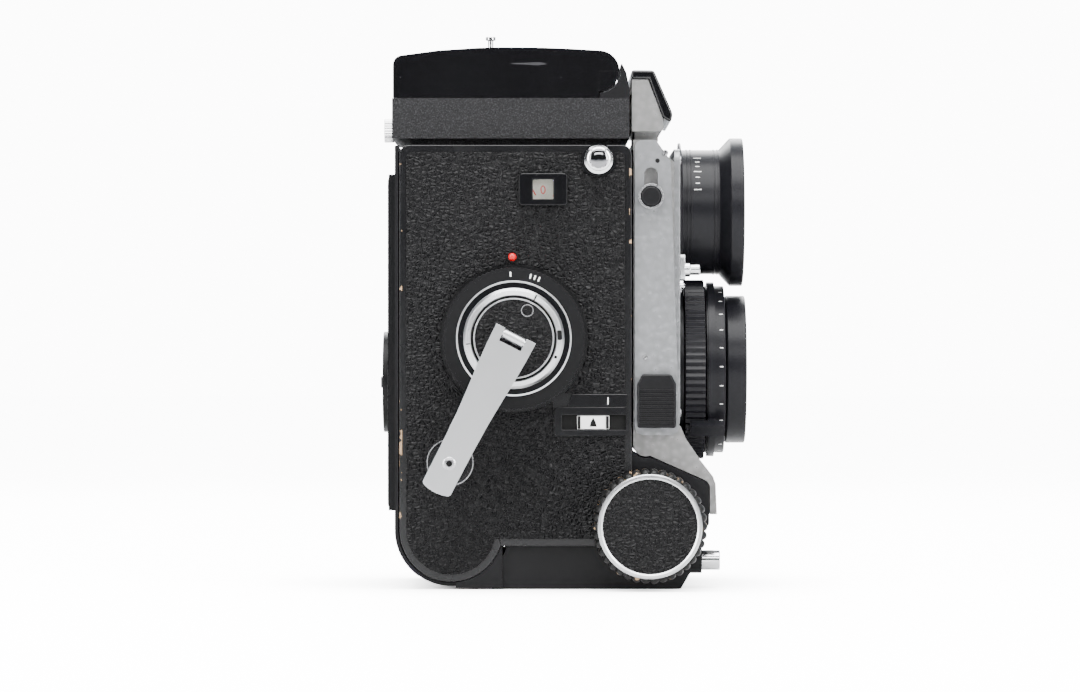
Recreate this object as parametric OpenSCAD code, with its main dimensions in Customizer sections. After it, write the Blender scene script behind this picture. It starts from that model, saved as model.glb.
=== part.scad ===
// Twin lens reflex camera with bellows focusing, for 120 roll film.
// X runs across the camera (its crank is at -X), Y runs from the lenses (-Y) to the back (+Y), Z is up.
// The origin is the mouth of the tripod socket, on the underside.

/* [Body] */
// Half the width of the body casting
body_hw = 38.5; // [38:0.1:40]
// Thickness of each side cover
cover_t = 2; // [1.5:0.1:2.5]
// Thickness of the leatherette
leather_t = 0.5; // [0.3:0.1:0.6]
// Height of the body's top face
body_top = 137.8; // [137:0.1:139]
// Front face of the body
body_front = -18.2; // [-19:0.1:-18]
// Back edge of the body's sides
body_back = 54; // [53:0.1:54]

/* [Lenses] */
// Height of the taking lens's axis
taking_z = 68; // [67.5:0.1:68.5]
// Distance between the two lens axes
lens_pitch = 50; // [50:0.1:51]
// Front face of the lens board
board_front = -33.5; // [-34:0.1:-33.5]

/* [Focusing] */
// How far the lens standard moves forward
focus_travel = 44; // [10:1:44]
// Pitch radius of the focusing pinion
pinion_r = 5.5; // [5:0.1:5.5]
// Radius of the focusing knobs
knob_r = 17.8; // [15:0.1:17.8]

/* [Crank] */
// Length of the crank arm from its hinge pin to its tip
crank_len = 51.8; // [46:0.1:52]
// Angle of the folded crank arm below the horizontal
crank_angle = 62.8; // [60:0.1:65]

/* [Hood] */
// Radius of the hood lid's round front end
lid_r = 6.4; // [6:0.1:6.6]
// Height of the folding side panels
panel_h = 30; // [26:1:30]

/* [Hidden] */
$fn = 48;

side = body_hw + cover_t;         // outer face of the side covers
skin = side + leather_t;          // outer face of the leatherette
viewing_z = taking_z + lens_pitch;
edge = 1;                         // overlap of cutting shapes
gap = 0.3;                        // clearance between pieces that move past each other

// Supply spool chamber, inside the round lobe at the bottom of the back
lobe = [body_back - 16.1, 18.3];
lobe_r = 16.1;
seam_z = 30;                       // top of the supply chamber's casting
lobe_floor = 13.3;                // underside of the body in front of the lobe
spool_r = 13.6;                   // chamber radius
spool_hl = 32.6;                  // half the chamber's length

// Crank and film transport, each gear of module 1
crank = [18.4, 77.75];
train_angle = 58.2;
crank_teeth = 28;
idler_teeth = 12;
pocket_x = body_hw - 4.6;         // floor of the pocket that holds the gears
train = [cos(train_angle), sin(train_angle)];
idler = crank + train * (crank_teeth + idler_teeth) / 2;
spool = crank + train * (crank_teeth + idler_teeth);
counter = [9.35, 116.5];
window = [9.35, 124];
lug_at = [-7.9, 133.3];
lock_at = [-4.5, 51.6];
dot_at = [18.9, 103];
hub_x = 50;                       // outer face of the crank hub
pin_x = 53.5;                     // plane of the crank's hinge pin
arm_t = 2;
knob_in = 43.2;                   // inner end of the folded crank knob
crank_knob_s = 43.3;              // how far the knob stands from the crank's axis
knob_at = crank + crank_knob_s * [cos(crank_angle), -sin(crank_angle)];

// Focusing drive
focus = [-23.5, 19.9];
rail_z = focus[1] + pinion_r + 0.9;
rail_h = 4.6;
rail_x = 21;
rail_hw = 3;

// Hood
hood_hw = 36;
hood_front = -17.5;
hood_back = 56.4;
hood_floor = 140;
hood_top = 152.6;
lid_axis = [-8.06, 161];
lid_back = 56.1;
lid_crown = 168.4;
lid_wall = 1.2;
side_hinge = [32.3, 143.2];       // X and Z of the side panels' hinges
rear_hinge = [53.2, 150.5];       // Y and Z of the back panel's hinge
mag_hinge = [44, 161.5];
mag_reach = 23;
mag_r = 10.5;

// Front standard
stand_back = -18.7;
stand_hw = 36;
slot_at = [-24.2, 121.85];
slide_lo = [-31.9, 50];
slide_hi = [-19.9, 66.6];
button_at = [-26, 8.4];           // X and Z of the front release
flare_corner = [-22.6, 44.9];     // centre of the rounded corner behind the flare
pinion_teeth = 18;
rack_pitch = 2 * 3.14159265 * pinion_r / pinion_teeth;
rack_back = 22.3;

// Back door
door_gap = 0.3;
door_t = 1.1;
door_pin = [26.97, 3.25];

// ---- shared shapes ----
function arc(c, r, a0, a1, n = 12) =
    [for (i = [0:n]) let (a = a0 + (a1 - a0) * i / n) [c[0] + r * cos(a), c[1] + r * sin(a)]];

// A profile drawn in (Y, Z), pulled along X from x0 to x1
module along_x(x0, x1) translate([x0, 0, 0]) rotate([90, 0, 90]) linear_extrude(x1 - x0) children();
module rod_x(x0, x1, at, r) translate([x0, at[0], at[1]]) rotate([0, 90, 0]) cylinder(h = x1 - x0, r = r);
// A rod along Y from y_back forward to y_front, at [X, Z]
module rod_y(y_back, y_front, at, r)
    translate([at[0], y_back, at[1]]) rotate([90, 0, 0]) cylinder(h = y_back - y_front, r = r);
module rod_z(z0, z1, at, r) translate([at[0], at[1], z0]) cylinder(h = z1 - z0, r = r);
// A turned shape whose profile is (radius, distance forward of y)
module lathe_front(y, at) translate([at[0], y, at[1]]) rotate([90, 0, 0]) rotate_extrude() children();
// A turned shape whose profile is (radius, distance out to the right, that is towards -X, of x)
module lathe_right(x, at) translate([-x, at[0], at[1]]) rotate([0, -90, 0]) rotate_extrude() children();
module box(a, b) translate(a) cube(b - a);
module bar(lo, hi) translate(lo) square(hi - lo);
module ring(ro, ri) difference() { circle(ro); circle(ri); }
module at2(p) translate(p) children();
module both() { children(); mirror([1, 0, 0]) children(); }
module round_bar(lo, hi, r) {
    bar([lo[0] + r, lo[1]], [hi[0] - r, hi[1]]);
    bar([lo[0], lo[1] + r], [hi[0], hi[1] - r]);
    for (y = [lo[0] + r, hi[0] - r], z = [lo[1] + r, hi[1] - r]) at2([y, z]) circle(r);
}
// The body's side outline: a tall panel with a round lobe at the bottom of the back
module body_side(inset = 0, r = 3) {
    difference() {
        round_bar([body_front + inset, lobe_floor + inset], [body_back - inset, body_top - inset], r);
        bar([lobe[0], lobe_floor - edge], [body_back + edge, lobe[1]]);
    }
    at2(lobe) circle(lobe_r - inset);
}
module gear_2d(teeth, phase) {
    r = teeth / 2;
    circle(r - 1.2);
    for (i = [0:teeth - 1]) rotate(phase + i * 360 / teeth)
        polygon([[r - 1.6, -0.85], [r + 0.7, -0.36], [r + 0.7, 0.36], [r - 1.6, 0.85]]);
}

// ---- body ----
module mirror_void()
    polygon([[body_front - edge, 91], [-7, 91], [44, 142], [-11, 142], [-11, 133],
        [body_front - edge, 133]]);
module dark_void() polygon([[body_front - edge, 50], [52, 40], [52, 95], [20, 91], [body_front - edge, 87]]);
module spool_void(at) {
    at2(at) circle(spool_r);
    bar([at[0], at[1] - spool_r], [body_back + 6, at[1] + spool_r]);
}
module gear_pocket() {
    at2(crank) circle(crank_teeth / 2 + 1.4);
    at2(idler) circle(idler_teeth / 2 + 1.4);
    at2(spool) circle(crank_teeth / 2 + 1.4);
}
module body_shell() color("#1b1b1d") {
    difference() {
        along_x(-body_hw, body_hw) body_side();
        along_x(-30, 30) mirror_void();
        along_x(-28, 28) dark_void();
        along_x(-spool_hl, spool_hl) spool_void(lobe);
        // The wrapped foot of the back closes the supply chamber behind and below
        along_x(-spool_hl, spool_hl) polygon([lobe, lobe + 20 * [cos(118), -sin(118)], [60, -6], [60, 32]]);
        along_x(-spool_hl, spool_hl) spool_void(spool);
        along_x(-31.5, 31.5) bar([51.4, 25], [body_back + 6, 120]);
        along_x(-30, 30) bar([body_front - edge, lobe_floor - edge], [22.8, 37]);
        along_x(-body_hw - edge, -pocket_x) gear_pocket();
        along_x(-body_hw - edge, -body_hw + 1.6) at2(counter) circle(11.8);
        rod_x(-body_hw, -31, spool, 2.56);
        for (p = [spool, lobe]) rod_x(31, body_hw + edge, p, 2.6);
        for (z = [34.2, 98.5]) along_x(-31.5, 31.5) at2([50.6, z]) circle(2.3);
        // Joint between the main casting and the casting of the supply chamber
        box([-body_hw - edge, body_front - edge, seam_z], [body_hw + edge, body_back + edge, seam_z + 0.05]);
    }
    // Fixed pin for the supply spool
    rod_x(-spool_hl - edge, -spool_hl + 3, lobe, 2.4);
    // Spindle that carries the idler
    rod_x(-pocket_x - 4, -pocket_x + 0.5, idler, 1.5);
    rod_x(-body_hw + 0.2, -body_hw + 2, counter, 1);
}
module side_covers() color("#141416") {
    difference() {
        union() {
            along_x(-side, -body_hw) body_side();
            rod_x(-side - 3.7, -side, crank, 16);
        }
        rod_x(-side - 5, -body_hw + edge, crank, 6.1);
        along_x(-side - edge, -body_hw + edge) at2(window) square([6.3, 6.2], center = true);
    }
    difference() {
        along_x(body_hw, side) body_side();
        for (p = [spool, lobe]) rod_x(body_hw - edge, side + edge, p, 2.6);
    }
}
module leather_panels() color("#202022") {
    difference() {
        along_x(-skin, -side) body_side(2.2, 2);
        rod_x(-skin - edge, -side + edge, crank, 23);
        rod_x(-skin - edge, -side + edge, knob_at, 7.2);
        rod_x(-skin - edge, -side + edge, dot_at, 1.6);
        rod_x(-skin - edge, -side + edge, lug_at, 5.6);
        along_x(-skin - edge, -side + edge) at2(window) square([15.4, 10.2], center = true);
        along_x(-skin - edge, -side + edge) bar([body_front, 47.3], [6.1, 60.7]);
    }
    difference() {
        along_x(side, skin) body_side(2.2, 2);
        for (p = [spool, lobe]) rod_x(side - edge, skin + edge, p, 9);
        rod_x(side - edge, skin + edge, lug_at, 5.6);
        along_x(side - edge, skin + edge) at2([18, 77]) square([22.4, 20.4], center = true);
        along_x(side - edge, skin + edge) bar([46, 125.5], [body_back, body_top]);
    }
}
// The nose of the housing passes under the lens standard's flare
module housing_profile() polygon(concat(
    [[25.2, 0], [-33.5, 0], [-36.5, 5], [-36.5, 14], [-42.3, 20]],
    arc([-39.9, 31.2], 2.4, 180, 110, 6),
    arc(flare_corner, 4.4, 250, 360, 8),
    [[body_front, lobe_floor], [35.8, lobe_floor], [28.6, 6]]));
module base_housing() color("#161618") {
    difference() {
        along_x(-body_hw, body_hw) housing_profile();
        rod_x(-body_hw - edge, body_hw + edge, lobe, lobe_r + 1.9);
        rod_x(-34, 34, door_pin, 2.6);
        rod_x(-36.2, 36.2, door_pin, 1.02);
        along_x(-31, 31) polygon([[-33, 3], [22, 3], [18, lobe_floor + edge],
            [body_front + edge, lobe_floor + edge], [body_front + edge, 36], [-30, 36], [-38.5, 32.6],
            [-38.5, 21], [-33, 15]]);
        rod_x(-body_hw - edge, body_hw + edge, focus, 3.06);
        for (s = [-1, 1]) translate([s * rail_x, 0, 0])
            box([-rail_hw - 0.15, -44, rail_z - 1.4], [rail_hw + 0.15, -37, rail_z + rail_h + 0.15]);
        rod_y(-30, -38, button_at, 2.1);
        cylinder(r = 6, h = 20, center = true);
    }
    difference() {
        cylinder(r = 9, h = 11.5);
        cylinder(r = 6, h = 30, center = true);
    }
    // Collar of the front release
    difference() {
        rod_y(-36.4, -40.3, button_at, 4.1);
        rod_y(-36, -41, button_at, 3.16);
    }
    // Cheeks that hold the ends of the back's hinge pin
    both() difference() {
        union() {
            rod_x(34, body_hw, door_pin, 2.2);
            along_x(body_hw - 0.1, side - 0.4)
                polygon(concat([[22, 13], [22, 0.3], [36.5, 0.3]], arc(lobe, lobe_r + 0.15, -95, -161, 16)));
        }
        rod_x(33, 36.2, door_pin, 1.02);
    }
}
module tripod_bush() color("#c8c8c4") difference() {
    cylinder(r = 5.98, h = 9);
    translate([0, 0, -edge]) cylinder(r = 3.175, h = 8 + edge);
}
module reflex_mirror() color("#cfd6da")
    translate([-29, -5.8, 92.4]) rotate([45, 0, 0]) cube([58, 60, 1.8]);
module focusing_screen() color("#dfe3df")
    box([-29.5, -11.5, 139], [29.5, 47.5, 140.8]);
module release_button() color("#b9bbbd") {
    rod_y(-33, -39.5, button_at, 2.04);
    rod_y(-39, -46, button_at, 3.1);
}

// ---- side fittings ----
module counter_bezel() color("#0c0c0e") difference() {
    along_x(-skin - 1.3, -side) at2(window) translate([-7.55, -4.95]) round_bar([0, 0], [15.1, 9.9], 1.2);
    along_x(-skin - 2, -side + edge) at2(window) square([6.3, 6.2], center = true);
}
module counter_glass() color("#d8d8cc", 0.5)
    along_x(-skin - 0.2, -side - 0.1) at2(window) square([6.3, 6.2], center = true);
module index_dot() color("#c8161d") translate([-side, dot_at[0], dot_at[1]]) rotate([0, -90, 0]) {
    cylinder(r = 1.3, h = 0.9);
    intersection() {
        translate([0, 0, 0.9]) sphere(1.3);
        cylinder(r = 1.3, h = 3);
    }
}
module strap_lugs() color("#c9c7c0") both() lathe_right(side, lug_at)
    polygon([[0, 0], [4.9, 0], [4.9, 1.2], [2.3, 2], [2.3, 4.2], [3.75, 5.2], [3.75, 6.4], [3, 6.8],
        [2.7, 6], [0, 6]]);
module lock_plate() color("#0d0d0f") difference() {
    along_x(-skin - 0.3, -side) union() {
        round_bar([body_front + 1.4, 47.5], [5.9, 56.3], 1.5);
        polygon([[1.6, 55], [body_front + 1.4, 55], [body_front + 1.4, 60.5], [0, 60.5]]);
    }
    along_x(-skin - edge, -side + 0.3) bar([-16.4, 49.4], [3.5, 54]);
}
module lock_slider() color("#e8e6df")
    along_x(-skin - 0.2, -side - 0.05) bar([-11.2, 49.6], [-1.2, 53.8]);
module accessory_shoe() color("#bfc1c2") {
    along_x(side, side + 1.4) at2([18, 77]) square([22, 20], center = true);
    for (s = [-1, 1]) translate([0, 18 + s * 10.2, 77]) {
        box([side + 1.3, -0.8, -10], [side + 4.4, 0.8, 10]);
        box([side + 3.5, s < 0 ? -0.8 : -2.4, -10], [side + 4.9, s < 0 ? 2.4 : 0.8, 10]);
    }
}
module hinge_pins() color("#b0b0b0") {
    both() {
        rod_x(27, 34.6, lid_axis, 1.2);
        rod_y(51.6, -6, side_hinge, 0.6);
    }
    rod_x(-31.5, 31.5, rear_hinge, 0.6);
    rod_x(-36, 36, door_pin, 1);
}

// ---- film transport ----
module counter_dial() color("#e4e2d6") difference() {
    rod_x(-body_hw + 0.2, -body_hw + 1.1, counter, 11);
    rod_x(-body_hw - edge, -body_hw + 2, counter, 1.05);
}
module take_up_spool() color("#26262a") {
    difference() {
        rod_x(-31.2, 31.2, spool, 6);
        rod_x(-31.3, -26, spool, 2.7);
        rod_x(26, 31.3, spool, 2.7);
    }
    both() difference() {
        rod_x(31.2, 32.2, spool, 12.3);
        rod_x(31, 33, spool, 2.7);
    }
}
module spool_key() color("#b8b8b8") {
    translate([-pocket_x - 3.6, spool[0], spool[1]]) rotate([90, 0, 90])
        linear_extrude(3.2) gear_2d(crank_teeth, train_angle + 180);
    rod_x(-pocket_x - 0.6, -28.5, spool, 2.5);
}
module idler_gear() color("#b8a468") difference() {
    translate([-pocket_x - 3.6, idler[0], idler[1]]) rotate([90, 0, 90])
        linear_extrude(3.2) gear_2d(idler_teeth, train_angle + 180 / idler_teeth);
    rod_x(-pocket_x - 5, -pocket_x + 1, idler, 1.56);
}
module roller(z) {
    rod_x(-31.2, 31.2, [50.6, z], 2);
}
module roller_upper() color("#c6c8ca") roller(98.5);
module roller_lower() color("#c6c8ca") roller(34.2);
module spool_knob(at) color("#c6c8ca") translate([0, at[0], at[1]]) rotate([0, 90, 0]) {
    translate([0, 0, 28.5]) cylinder(r = 2.5, h = 14);
    translate([0, 0, side + 0.2]) cylinder(r = 8.4, h = 3.4);
    translate([0, 0, side + 3.5]) cylinder(r = 6.2, h = 2.5);
}
module spool_knob_upper() spool_knob(spool);
module spool_knob_lower() spool_knob(lobe);

// ---- crank ----
// Local frame of the crank: Y along the folded arm, Z along its hinge pin
module on_crank() translate([0, crank[0], crank[1]]) rotate([-crank_angle, 0, 0]) children();
module knurled(r, n, depth = 0.5) polygon([for (i = [0:2 * n - 1])
    let (a = 180 * i / n, q = i % 2 == 0 ? r : r - depth) [q * cos(a), q * sin(a)]]);
module selector_ring() color("#101012") difference() {
    along_x(-side - 3.7, -side - 0.1) at2(crank) knurled(22.2, 90, 0.45);
    rod_x(-side - 6, -side + edge, crank, 16.08);
}
module crank_hub() color("#c3c5c8") {
    translate([-pocket_x - 3.6, crank[0], crank[1]]) rotate([90, 0, 90])
        linear_extrude(3.2) gear_2d(crank_teeth, train_angle);
    rod_x(-side - 4.5, -pocket_x - 0.6, crank, 6.04);
    lathe_right(side + 4, crank) polygon([[0, 0], [17.9, 0], [17.9, 0.8], [15.6, 1.1], [15.6, 4.3],
        [14.8, 5.2], [13.4, 5.5], [13, 4.6], [12.6, 4.6], [12.4, 5.5], [12.1, 5.5], [12.1, 5], [0, 5]]);
    // Knuckle that carries the arm
    on_crank() difference() {
        union() {
            rod_z(-3.4, 3.4, [-pin_x, 0], 1.5);
            box([-pin_x, -1.5, -3.4], [-side - 8.9, 1.5, 3.4]);
        }
        rod_z(-4, 4, [-pin_x, 0], 1);
    }
}
module crank_leather() color("#202022") difference() {
    rod_x(-side - 9.4, -side - 9, crank, 12);
    on_crank() box([-side - 11, -1.6, -3.5], [-side - 8, 1.6, 3.5]);
}
module crank_pin() color("#d4d4d4") on_crank() rod_z(-6.6, 6.6, [-pin_x, 0], 1);
module arm_outline() difference() {
    for (s = [-1, 1]) scale([1, s]) polygon([[-1.7, 6.8], [4, 6.7], [12, 6.3], [18, 5.8], [27, 5.2],
        [37, 4.9], [51.7, 4.8], [52.4, 4.3], [53, 2.3], [53.2, -edge], [-1.7, -edge]]);
    bar([-3, -3.7], [2.6, 3.7]);
}
module crank_arm() color("#c9cbce") on_crank() {
    translate([-pin_x - 1.1, 0, 0]) rotate([0, -90, 0]) linear_extrude(arm_t)
        rotate(90) mirror([0, 1]) arm_outline();
    // Ears round the hinge pin
    for (z = [4, -6.4]) difference() {
        union() {
            rod_z(z, z + 2.4, [-pin_x, 0], 1.6);
            box([-pin_x - 1.2, -1.6, z], [-pin_x, 1.6, z + 2.4]);
        }
        rod_z(z - 1, z + 4, [-pin_x, 0], 1.05);
    }
    // Rivet that the knob turns on
    translate([0, crank_knob_s, 0]) rotate([0, 90, 0]) {
        translate([0, 0, -pin_x - 3.6]) cylinder(r = 2.1, h = 1);
        translate([0, 0, -pin_x - 1.2]) cylinder(r = 1.9, h = pin_x + 1.2 - knob_in - 0.4);
        translate([0, 0, -knob_in - 1.2]) cylinder(r = 3, h = 0.8);
    }
}
module crank_knob() color("#b5b7ba")
on_crank() translate([0, crank_knob_s, 0]) rotate([0, 90, 0]) difference() {
    translate([0, 0, -pin_x - 0.7]) union() {
        linear_extrude(4.2) knurled(6.3, 30, 0.35);
        translate([0, 0, 4.1]) cylinder(r1 = 5.4, r2 = 4.6, h = pin_x + 0.7 - knob_in - 4.1);
    }
    translate([0, 0, -60]) cylinder(r = 1.96, h = 30);
    translate([0, 0, -knob_in - 1.6]) cylinder(r = 3.3, h = 3);
}

// ---- hood ----
module hood_base() color("#232326") {
    difference() {
        union() {
            box([-hood_hw, hood_front, hood_floor], [hood_hw, hood_back, hood_top]);
            box([-31, -15, body_top], [31, 50.5, hood_floor]);
        }
        box([-33.4, -14.2, 141.6], [33.4, 54.6, hood_top + edge]);
        box([-29.55, -11.55, 138.95], [29.55, 47.55, 142]);
        box([-27, -9, body_top - edge], [27, 45, 142]);
        rod_y(58, 54, [0, 143.9], 1.56);
    }
    both() {
        for (y = [-6.4, 50.5]) difference() {
            box([31.2, y, 141.5], [33.5, y + 1.6, 144.4]);
            rod_y(y + 3, y - 1, side_hinge, 0.6);
        }
        difference() {
            box([30, 52.1, 148.5], [33.5, 54.7, 151.6]);
            rod_x(29, 31.5, rear_hinge, 0.6);
        }
    }
}
module hood_bracket() color("#3a3a3c") {
    difference() {
        along_x(-hood_hw, hood_hw) polygon([[-8.4, hood_top], [-17.5, hood_top], [-17.7, 155],
            [-16.6, 160.5], [-15.3, 163.2], [-13, 163.2], [-13, 156], [-8.4, 154.6]]);
        rod_x(-40, 40, lid_axis, lid_r + 0.35);
        along_x(-40, 40) polygon([[-14.7, 160.8], [-14.9, 164], [-8, 164], [-8, 160.8]]);
    }
    // Arms that hold the lid's hinge pins
    both() difference() {
        union() {
            rod_x(27, 30, lid_axis, 2.4);
            box([27, -8.3, hood_top - 2], [30, -5.7, lid_axis[1]]);
            box([27, -14.3, 150.6], [30, -5.7, hood_top]);
        }
        rod_x(26, 31, lid_axis, 1.2);
    }
}
module lid_top() polygon(concat(
    arc([lid_back - 3, 162.9], 3, 0, 82, 6),
    [[42, 167.4], [30, 168.2], [22, lid_crown], [10, 168.3], [0, 167.9]],
    arc(lid_axis, lid_r, 90, 180, 12), [lid_axis, [lid_axis[0], 152.8], [lid_back, 152.8]]));
module lid_inside() polygon(concat(
    arc([lid_back - 3, 162.9], 3 - lid_wall, 0, 82, 6),
    [[42, 166.2], [30, 167], [22, lid_crown - lid_wall], [10, 167.1], [0, 166.7]],
    arc(lid_axis, lid_r - lid_wall, 90, 170, 12), [[lid_axis[0] - 7, lid_axis[1]], [lid_axis[0] - 7, 150],
    [lid_back - lid_wall, 150]]));
module hood_lid() color("#0b0b0d") {
    difference() {
        union() {
            along_x(-hood_hw, hood_hw) lid_top();
            both() rod_x(30.5, hood_hw - 0.1, lid_axis, lid_r - 0.2);
        }
        along_x(-30.5, 30.5) lid_inside();
        along_x(-34.8, 34.8) polygon([[2, 150], [2, 166], [22, 166.6], [42, 165.6], [lid_back - 4, 164],
            [lid_back - lid_wall, 162], [lid_back - lid_wall, 150]]);
        rod_x(-34.8, 34.8, lid_axis, 1.25);
        rod_z(150, 175, [0, 26], 0.95);
    }
    // Collar round the magnifier's button
    difference() {
        translate([0, 26, lid_crown - 0.4]) cylinder(r1 = 2.6, r2 = 1.9, h = 1.6);
        rod_z(150, 175, [0, 26], 0.95);
    }
    // Lugs for the magnifier
    both() difference() {
        box([5, mag_hinge[0] - 2, mag_hinge[1] - 2], [7, mag_hinge[0] + 2, 166.6]);
        rod_x(4, 8, mag_hinge, 1.05);
    }
}
module magnifier_button() color("#b0b0b0") {
    rod_z(164.6, 173.4, [0, 26], 0.87);
    rod_z(164.2, 165.2, [0, 26], 1.8);
    rod_z(172.6, 173.8, [0, 26], 1.6);
}
module magnifier_arm() color("#161618") {
    difference() {
        union() {
            translate([0, mag_hinge[0] - mag_reach, mag_hinge[1] - 0.8]) cylinder(r = mag_r, h = 1.6);
            box([-4.4, mag_hinge[0] - mag_reach + 8, mag_hinge[1] - 0.8],
                [4.4, mag_hinge[0], mag_hinge[1] + 0.8]);
            rod_x(-4.4, 4.4, mag_hinge, 1.4);
            rod_x(-6.8, 6.8, mag_hinge, 1);
        }
        translate([0, mag_hinge[0] - mag_reach, 150]) cylinder(r = mag_r - 1.2, h = 20);
    }
}
module magnifier_glass() color("#d5e2e8", 0.5)
    translate([0, mag_hinge[0] - mag_reach, mag_hinge[1] - 0.6]) cylinder(r = mag_r - 1.2, h = 1.2);
// Folded side panel, seen from above, as [distance in from its hinge, Y]
module side_panel() {
    difference() {
        union() {
            translate([0, 0, side_hinge[1] - 0.4]) linear_extrude(0.8)
                polygon([for (p = [[0, -4], [8.5, -4], [11, 0.6], [panel_h, 0.6], [panel_h, 37.5],
                    [panel_h * 0.76, 42.6],
                    [panel_h * 0.52, 47.6], [panel_h * 0.4, 50], [0, 50]]) [side_hinge[0] - p[0], p[1]]]);
            rod_y(50, -4, side_hinge, 1);
        }
        rod_y(52, -6, side_hinge, 0.65);
    }
}
module hood_panel_left() color("#18181a") side_panel();
module hood_panel_right() color("#18181a") mirror([1, 0, 0]) side_panel();
module hood_panel_rear() color("#18181a") difference() {
    union() {
        box([-29.4, rear_hinge[0] - 22, rear_hinge[1] - 0.4], [29.4, rear_hinge[0], rear_hinge[1] + 0.4]);
        rod_x(-29.4, 29.4, rear_hinge, 1);
    }
    rod_x(-30, 30, rear_hinge, 0.65);
}
module hood_screw() color("#cfcfcf") {
    rod_y(57.4, 52.4, [0, 143.9], 1.5);
    translate([0, 59.8, 143.9]) rotate([90, 0, 0]) linear_extrude(3.1) knurled(3.8, 28, 0.3);
}

// ---- back ----
// A band round the supply lobe, from angle a (degrees) up to the back panel
module wrap(a, ri, ro) polygon(concat(arc(lobe, ro, a, 0, 24), arc(lobe, ri, 0, a, 24)));
module back_door() color("#18181a") {
    difference() {
        union() {
            along_x(-side, side) union() {
                wrap(-55, lobe_r + door_gap, lobe_r + door_gap + door_t);
                bar([body_back + door_gap, lobe[1]], [body_back + door_gap + door_t, body_top - 0.2]);
            }
            along_x(-body_hw + 0.3, body_hw - 0.3) wrap(-115, lobe_r + door_gap, lobe_r + door_gap + door_t);
            along_x(-33.6, 33.6) wrap(-126, lobe_r + door_gap, lobe_r + door_gap + door_t);
            box([-30, body_back + door_gap, 24], [30, 57.6, 129]);
            both() for (x = [8, 24]) rod_x(x, x + 9, door_pin, 2.2);
        }
        rod_x(-37, 37, door_pin, 1.05);
        rod_y(60, 50, [0, 64], 3.05);
    }
    // Posts of the pressure plate
    for (x = [-20, 20], z = [46, 86]) rod_y(54.5, 53.1, [x, z], 1.6);
}
module pressure_plate() color("#2a2a2c") {
    box([-29, 51.9, 38], [29, 53.1, 94.6]);
    for (z = [37.2, 94.2]) box([-29, 52.2, z], [29, 53.1, z + 1.2]);
}
module film_dial() color("#17171a") {
    rod_y(57.8, 54.6, [0, 64], 3);
    rod_y(60, 57.8, [0, 64], 16);
    box([-12, 59.5, 62.2], [12, 60.6, 65.8]);
}
module door_latch() color("#c2c4c6") {
    box([side + 0.2, 46.8, 126.5], [side + 1.6, 56.8, 133.2]);
    box([side + 1.5, 47.6, 128], [side + 3, 52.6, 131.8]);
}

// ---- lens standard ----
module standard_profile() polygon(concat(
    [[stand_back, 139.5]], arc(flare_corner, 3.9, 360, 250, 8), arc([-39.9, 31.2], 2.7, 110, 180, 6),
    [[-42.6, 23], [-44.8, 23], [-44.4, 32.4], [-43.6, 34.8], [-39.7, 39.8], [-35.2, 46.4], [-33.4, 50.5],
    [-31.5, 51], [-31.5, 132.5], [-29.5, 134.4], [-25.8, 139.5]]));
module standard_frame() color("#9a9c9f") {
    difference() {
        along_x(-stand_hw, stand_hw) standard_profile();
        box([-33, -29.4, 50], [33, stand_back + edge, 137.4]);
        rod_y(-28, -33, [0, viewing_z], 19);
        rod_y(-28, -33, [0, taking_z], 17.5);
        // Hollow in the flare under the taking lens
        rod_y(-31.5, -50, [0, taking_z], 29);
        for (s = [-1, 1])
            box([s * rail_x - rail_hw, -44, rail_z], [s * rail_x + rail_hw, -42, rail_z + rail_h]);
    }
    box([-30, -26.6, 139.4], [30, -19.2, 142.4]);
    difference() {
        along_x(-34.8, 34.8) head_profile();
        along_x(-32.8, 32.8)
            polygon([[-17, 144.2], [-17, 156.6], [-22.2, 156.6], [-26, 146.6], [-25.2, 144.2]]);
    }
}
// The strip over the top and the sloping front of the standard's head
module name_cover() color("#0e0e10") along_x(-35.5, 35.5) polygon([[-18.1, 158.5], [-18.1, 161.4],
    [-25.2, 161.3], [-31.1, 147.7], [-30.5, 145], [-28, 146.4], [-23.6, 158.5]]);
module head_profile() polygon(concat([[-18.3, 158.4], [-23.4, 158.4], [-27.9, 146.5]],
    arc([-26.6, 143.9], 1.7, 180, 270, 4), [[-18.3, 142.2]]));
module plate_profile() polygon([[-19.1, 50.2], [-19.8, 48.4], [-21.6, 47.7], [-30.6, 47.7], [-32.4, 48.5],
    [-33, 50.4], [-32.4, 70], [-30.3, 132.8], [-25.8, 139.4], [-21.2, 139.4], [-19.6, 138.6], [-19.1, 137]]);
module side_plates() color("#a4a6a9") both() difference() {
    along_x(stand_hw, stand_hw + 2.6) plate_profile();
    along_x(stand_hw - edge, stand_hw + 4) {
        bar([slot_at[0] - 2.1, slot_at[1]], [slot_at[0] + 2.1, slot_at[1] + 7]);
        for (z = [0, 7]) at2([slot_at[0], slot_at[1] + z]) circle(2.1);
        bar([-27.5, 50.5], [-24.3, 61.4]);
    }
}
module lens_board() color("#8f9194") difference() {
    translate([0, -31.5, 0]) rotate([90, 0, 0]) linear_extrude(-31.5 - board_front)
        translate([-30.5, 0]) round_bar([0, 51], [61, 137], 4);
    rod_y(-28, -36, [0, viewing_z], 16.5);
    rod_y(-28, -36, [0, taking_z], 15);
}
module rails() color("#b9b9b9") for (s = [-1, 1]) along_x(s * rail_x - rail_hw, s * rail_x + rail_hw) {
    bar([-44, rail_z], [rack_back, rail_z + rail_h]);
    for (i = [-1:23]) at2([focus[0] + (i + 0.5) * rack_pitch, rail_z])
        polygon([[-0.6, 0.1], [-0.25, -1.2], [0.25, -1.2], [0.6, 0.1]]);
}
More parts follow.
